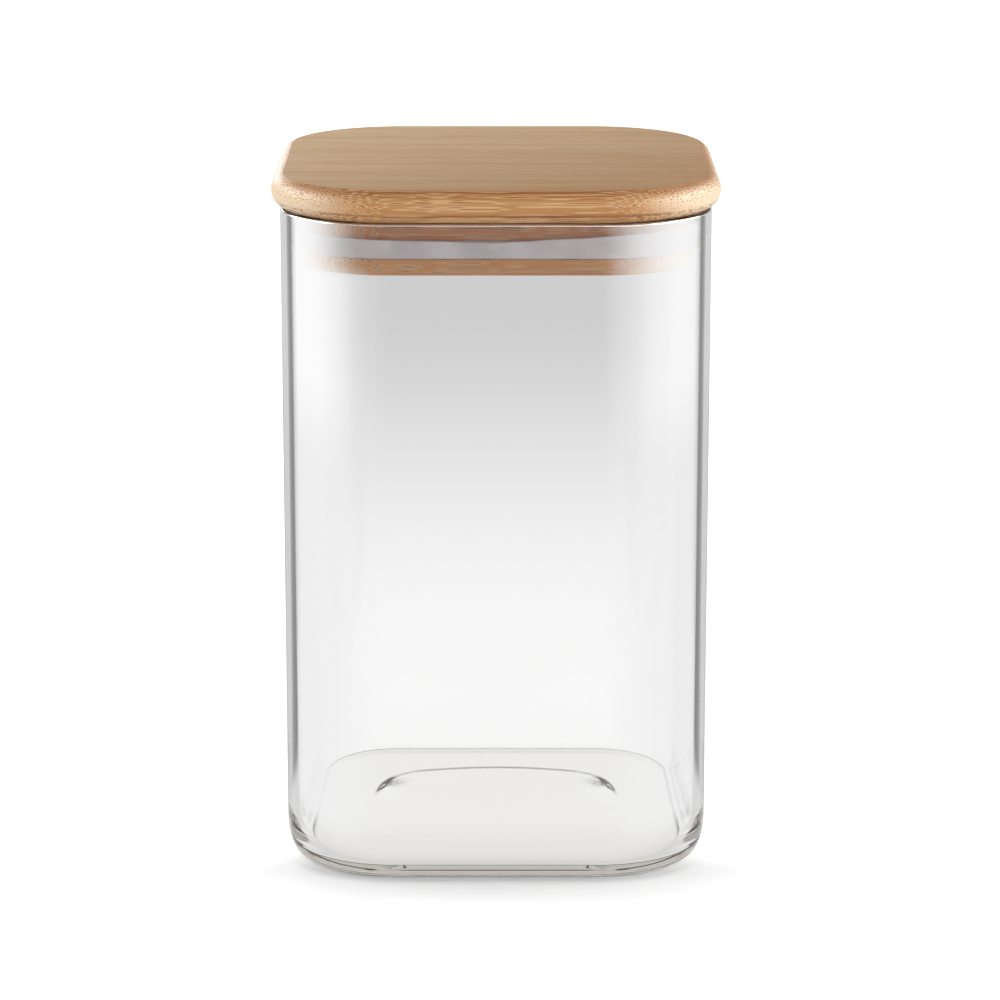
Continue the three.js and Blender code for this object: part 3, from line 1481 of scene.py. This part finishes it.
@dataclass(frozen=True)
class PaleFloor:
    """Pale floor, white to the camera, with a painted shadow of the jar and a grade that the glass
    shows.

    Dark flags of painted shade lie on it to both sides in front of and behind the jar. Only the edges
    of the glass turn light so far that they show them, as dark lines. Lengths are in metres,
    brightnesses where white is 1, and a pair gives a start and an end.

    Attributes:
        paint: How much light the paint throws back.
        contact_shadow: Width of the painted contact shadow, a dark line along the foot.
        contact_shadow_curve: Power that its fading follows.
        contact_shadow_share: Strength of that painted line.
        shadow: Width of the soft painted shadow round the foot.
        shadow_share: Strength of the painted shadow at the foot.
        shadow_front: Along Y, where the shadow ends towards the back.
        white_reach: Distances from the jar between which the floor's own white grows.
        white: Strength of that white.
        grade_reach: Distances between which the floor gets darker through the glass.
        grade: Its brightness through the glass.
        under_edge: Width over which the painted shade on the floor under the jar ends.
        under_front: Along Y, where that floor is darkest and where it isn't any more.
        under_shade: How much darker it is.
        under_tint: Tint of that painted shade.
        heel_band: Distances past the foot's edge between which the painted shade along its border grows.
        heel_shade: How much darker that border is.
        heel_front: Along Y, where the border ends towards the back.
        flag_side: Distance to the side of the axis from which the flags spread.
        flag_soft: Distance that keeps the flags' slopes finite close to the jar.
        flag_inner: Slopes from the jar's side line between which a flag starts.
        flag_outer: Slopes from the sideways axis between which it ends.
        flag_gap_reach: Distances to the side between which the flags part from that axis.
        flag_gap: How far they part.
        flag_start: Distances from the jar between which they start.
        flag_shade: Brightness beside and on the flags.
        beside_reach: Distances from the jar between which the floor right beside it ends.
        beside_shade: Brightness of the floor right beside the jar.
        guided: Numbers of turns inside the glass between which light is lost.
        guided_share: What is left of it.
        card_reach: Distances between which the floor gets brighter as a mirror image.
        card: Its brightness as a mirror image.
    """

    paint: Colour = (0.78, 0.78, 0.78)
    contact_shadow: float = 0.008
    contact_shadow_curve: float = 1.5
    contact_shadow_share: float = 0.64
    shadow: float = 0.055
    shadow_share: float = 0.72
    shadow_front: Span = (-0.048, -0.022)
    white_reach: Span = (0.1, 0.8)
    white: Span = (0.62, 0.95)
    grade_reach: Span = (0.12, 0.66)
    grade: Span = (0.98, 0.60)
    under_edge: float = 0.004
    under_front: Span = (-0.045, -0.005)
    under_shade: Span = (0.17, 0.0)
    under_tint: Colour = (1.0, 0.97, 0.88)
    heel_band: Span = (-0.010, -0.003)
    heel_shade: float = 0.08
    heel_front: Span = (-0.02, 0.02)
    flag_side: float = 0.05
    flag_soft: float = 0.02
    flag_inner: Span = (0.42, 0.8)
    flag_outer: Span = (0.05, 0.3)
    flag_gap_reach: Span = (0.09, 0.2)
    flag_gap: float = 0.05
    flag_start: Span = (0.055, 0.075)
    flag_shade: Span = (0.68, 0.15)
    beside_reach: Span = (0.055, 0.07)
    beside_shade: float = 0.92
    guided: Span = (2.0, 5.0)
    guided_share: float = 0.6
    card_reach: Span = (0.44, 0.62)
    card: Span = (0.87, 0.98)

    def _own_white(self, graph: Graph, place: Socket, gap: Socket) -> Socket:
        """Returns the floor's own white, which dies out in a painted shadow in front of the jar.

        Args:
            graph: Node tree of the floor.
            place: Place on the floor.
            gap: Distance of the place from the jar's foot.

        Returns:
            The strength of the white.
        """
        # Painted shadow: the white fades out towards the foot in front of the jar, in a dark contact
        # line and a soft spread.
        painted_contact = graph.calc("POWER", graph.fade(gap, 0.0, self.contact_shadow, 1.0, 0.0), self.contact_shadow_curve)
        painted_spread = graph.fade(gap, 0.0, self.shadow, self.shadow_share, 0.0)
        painted_shadow = graph.calc("MULTIPLY_ADD", painted_contact, self.contact_shadow_share, painted_spread, clamp=True)
        front = graph.fade(graph.axis(place, "Y"), *self.shadow_front, 1.0, 0.0)
        white = graph.fade(graph.length(place), *self.white_reach, *self.white)
        return graph.product(white, graph.rest(graph.product(painted_shadow, front)))

    def _painted_shade_under_jar(self, graph: Graph, place: Socket, gap: Socket) -> Socket:
        """Returns the painted shade on the floor under the jar and along its foot, as the glass shows
        it.

        Args:
            graph: Node tree of the floor.
            place: Place on the floor.
            gap: Distance of the place from the jar's foot.

        Returns:
            The share of brightness that is lost.
        """
        forward = graph.axis(place, "Y")
        middle = graph.fade(forward, *self.under_front, *self.under_shade)
        border = graph.product(
            graph.fade(gap, *self.heel_band, 0.0, self.heel_shade),
            graph.fade(forward, *self.heel_front, 1.0, 0.0),
        )
        inside = graph.fade(gap, 0.0, self.under_edge, 1.0, 0.0)
        return graph.product(inside, graph.calc("ADD", middle, border))

    def _painted_flags(self, graph: Graph, place: Socket) -> Socket:
        """Returns the brightness of the floor with its painted dark flags, as the glass edges show it.

        Args:
            graph: Node tree of the floor.
            place: Place on the floor.

        Returns:
            The brightness.
        """
        away = graph.length(place)
        across = graph.calc("ABSOLUTE", graph.axis(place, "X"))
        along = graph.calc("ABSOLUTE", graph.axis(place, "Y"))
        aside = graph.calc(
            "DIVIDE",
            graph.calc("SUBTRACT", across, self.flag_side),
            graph.calc("ADD", along, self.flag_soft),
        )
        parted = graph.fade(across, *self.flag_gap_reach, 0.0, self.flag_gap)
        ahead = graph.calc(
            "DIVIDE",
            graph.calc("SUBTRACT", along, parted),
            graph.calc("ADD", across, self.flag_soft),
        )
        wedge = graph.product(
            graph.fade(aside, *self.flag_inner),
            graph.fade(ahead, *self.flag_outer),
            graph.fade(away, *self.flag_start),
        )
        flagged = graph.fade(wedge, 0.0, 1.0, *self.flag_shade)
        beside = graph.product(
            graph.fade(graph.calc("SUBTRACT", across, along), 0.0, self.flag_soft),
            graph.fade(away, *self.beside_reach, 1.0, 0.0),
        )
        return graph.mix(beside, flagged, self.beside_shade)

    def material(self, foot: Outline) -> bpy.types.Material:
        """Makes the floor's material.

        Args:
            foot: Outline of the jar's foot on the floor.

        Returns:
            The floor's material.
        """
        material, graph = new_material("pale_floor")
        place = graph.add("ShaderNodeTexCoord").outputs["Object"]
        away = graph.length(place)
        gap = graph.gap(place, foot)
        ray = graph.add("ShaderNodeLightPath")

        # The camera sees the floor's diffuse light plus its own white, which holds the painted shadow.
        lift = graph.product(self._own_white(graph, place, gap), ray.outputs["Is Camera Ray"])
        paint = graph.add("ShaderNodeBsdfDiffuse", {"Color": self.paint})
        glow = graph.add("ShaderNodeEmission", {"Color": WHITE, "Strength": lift})
        sheet = graph.add("ShaderNodeAddShader", {0: paint.outputs[0], 1: glow.outputs[0]})

        # Through the glass the floor shows a grade, with painted shade under the jar.
        painted_shade = self._painted_shade_under_jar(graph, place, gap)
        grade = graph.fade(away, *self.grade_reach, *self.grade)
        grade = graph.product(grade, graph.rest(painted_shade))
        turns = ray.outputs["Glossy Depth"]
        guided = graph.fade(turns, *self.guided, 1.0, self.guided_share)
        # Rays that turned inside the glass see the painted dark flags.
        shade = graph.mix(graph.any_of(turns), grade, graph.product(self._painted_flags(graph, place), guided))
        card = graph.fade(away, *self.card_reach, *self.card)
        shade = graph.mix(ray.outputs["Is Reflection Ray"], shade, card)
        tint = graph.blend(painted_shade, WHITE, self.under_tint)
        backdrop = graph.add("ShaderNodeEmission", {"Color": tint, "Strength": shade})
        both = graph.add(
            "ShaderNodeMixShader",
            {0: seen_through(graph, ray), 1: sheet.outputs[0], 2: backdrop.outputs[0]},
        )
        graph.add("ShaderNodeOutputMaterial", {"Surface": both.outputs[0]})
        return material


@dataclass(frozen=True)
class Surround:
    """Even pale surround, by what a ray has met before it gets there.

    Attributes:
        light: Brightness as a light on dull faces.
        through: Brightness through clear glass.
        turned: Brightness after a turn inside the glass.
        turned_tint: Tint after such a turn.
        shine: Brightness in a soft reflection.
        mirror: Brightness in a sharp reflection.
        sight: Brightness to the camera.
    """

    light: float = 0.27
    through: float = 0.88
    turned: float = 0.64
    turned_tint: Colour = (1.0, 0.97, 0.92)
    shine: float = 0.5
    mirror: float = 0.9
    sight: float = 1.0

    def build(self) -> bpy.types.World:
        """Makes the world of the studio.

        Returns:
            The world.
        """
        world = bpy.data.worlds.new("studio")
        world.use_nodes = True
        graph = Graph(world.node_tree)
        ray = graph.add("ShaderNodeLightPath")
        reflected = ray.outputs["Is Reflection Ray"]
        through = seen_through(graph, ray)
        turned = graph.product(through, graph.any_of(ray.outputs["Glossy Depth"]))
        level = graph.mix(through, self.light, self.through)
        level = graph.mix(turned, level, self.turned)
        level = graph.mix(reflected, level, self.shine)
        level = graph.mix(graph.product(reflected, ray.outputs["Is Singular Ray"]), level, self.mirror)
        level = graph.mix(ray.outputs["Is Camera Ray"], level, self.sight)
        colour = graph.blend(turned, WHITE, self.turned_tint)
        surround = graph.add("ShaderNodeBackground", {"Color": colour, "Strength": level})
        graph.add("ShaderNodeOutputWorld", {"Surface": surround.outputs[0]})
        return world


@dataclass
class Studio:
    """Floor, light and camera.

    Attributes:
        foot: Outline of the jar's foot on the floor.
        distance: How far the camera stands in front of the jar's axis.
        camera_height: Height of the camera above the floor.
        pitch: How far the camera looks down, in degrees.
        lens: Focal length in millimetres on the sensor.
        sensor: Width of the sensor in millimetres.
        shift: Sideways shift that the photograph's framing needs.
        floor_size: Width of the floor.
        floor_drop: How far the floor lies below the foot, so that their faces stay apart.
        bounces: How often light may turn inside the glass.
        lamps: The soft lamps.
    """

    foot: Outline
    distance: float = 0.908
    camera_height: float = 0.305
    pitch: float = 13.95
    lens: float = 138.9
    sensor: float = 36.0
    shift: float = 0.004
    floor_size: float = 8.0
    floor_drop: float = 0.05 * MM
    bounces: int = 24
    lamps: list[Softbox] = field(
        default_factory=lambda: [
            Softbox("left_softbox", (-0.45, 0.05, 0.34), (0, 0, 0.16), (0.8, 0.3), 4.1),
            Softbox("right_softbox", (0.45, -0.05, 0.34), (0, 0, 0.16), (0.8, 0.3), 4.7),
            Softbox("back_softbox", (-0.24, 0.5, 0.27), (0, 0, 0.16), (0.3, 0.16), 7.0),
            Softbox("front_softbox", (0.45, -1.1, 0.42), (0, 0, 0.14), (1.2, 0.7), 1.9),
            Softbox("low_fill", (0.15, -0.9, 0.03), (0, 0, 0.15), (0.9, 0.3), 1.9, mirrored=False),
        ]
    )

    def camera(self) -> None:
        """Adds the camera at the photograph's viewing angle."""
        bpy.ops.object.camera_add(
            location=(0, -self.distance, self.camera_height),
            rotation=(math.radians(90 - self.pitch), 0, 0),
        )
        camera = bpy.context.object
        camera.name = "photo_camera"
        camera.data.lens = self.lens
        camera.data.sensor_width = self.sensor
        camera.data.shift_x = self.shift
        bpy.context.scene.camera = camera

    def floor(self) -> None:
        """Lays the floor."""
        bpy.ops.object.select_all(action="DESELECT")
        bpy.ops.mesh.primitive_plane_add(size=self.floor_size, location=(0, 0, -self.floor_drop))
        floor = bpy.context.object
        floor.name = "floor"
        floor.data.materials.append(PaleFloor().material(self.foot))

    def build(self) -> None:
        """Sets up the whole studio."""
        self.camera()
        self.floor()
        for lamp in self.lamps:
            lamp.hang()
        scene = bpy.context.scene
        scene.world = Surround().build()
        scene.view_settings.view_transform = "Standard"
        scene.cycles.max_bounces = self.bounces
        scene.cycles.glossy_bounces = self.bounces
        scene.cycles.transmission_bounces = self.bounces
        log.info("studio: %d lamps", len(self.lamps))


def main() -> None:
    """Builds the studio and every piece of the jar."""
    logging.basicConfig(level=logging.INFO, format="%(name)s: %(message)s")
    jar = GlassJar()
    Studio(jar.outline.inset(jar.heel_inset)).build()
    jar.dress(jar.build())
    lid = BambooLid(jar)
    builders = {Ply.TOP: lid.build_top, Ply.MIDDLE: lid.build_middle, Ply.BOTTOM: lid.build_bottom}
    for ply, build in builders.items():
        lid.dress(ply, build())
    seal = SealRing(lid)
    seal.dress(seal.build())


if __name__ == "__main__":
    main()
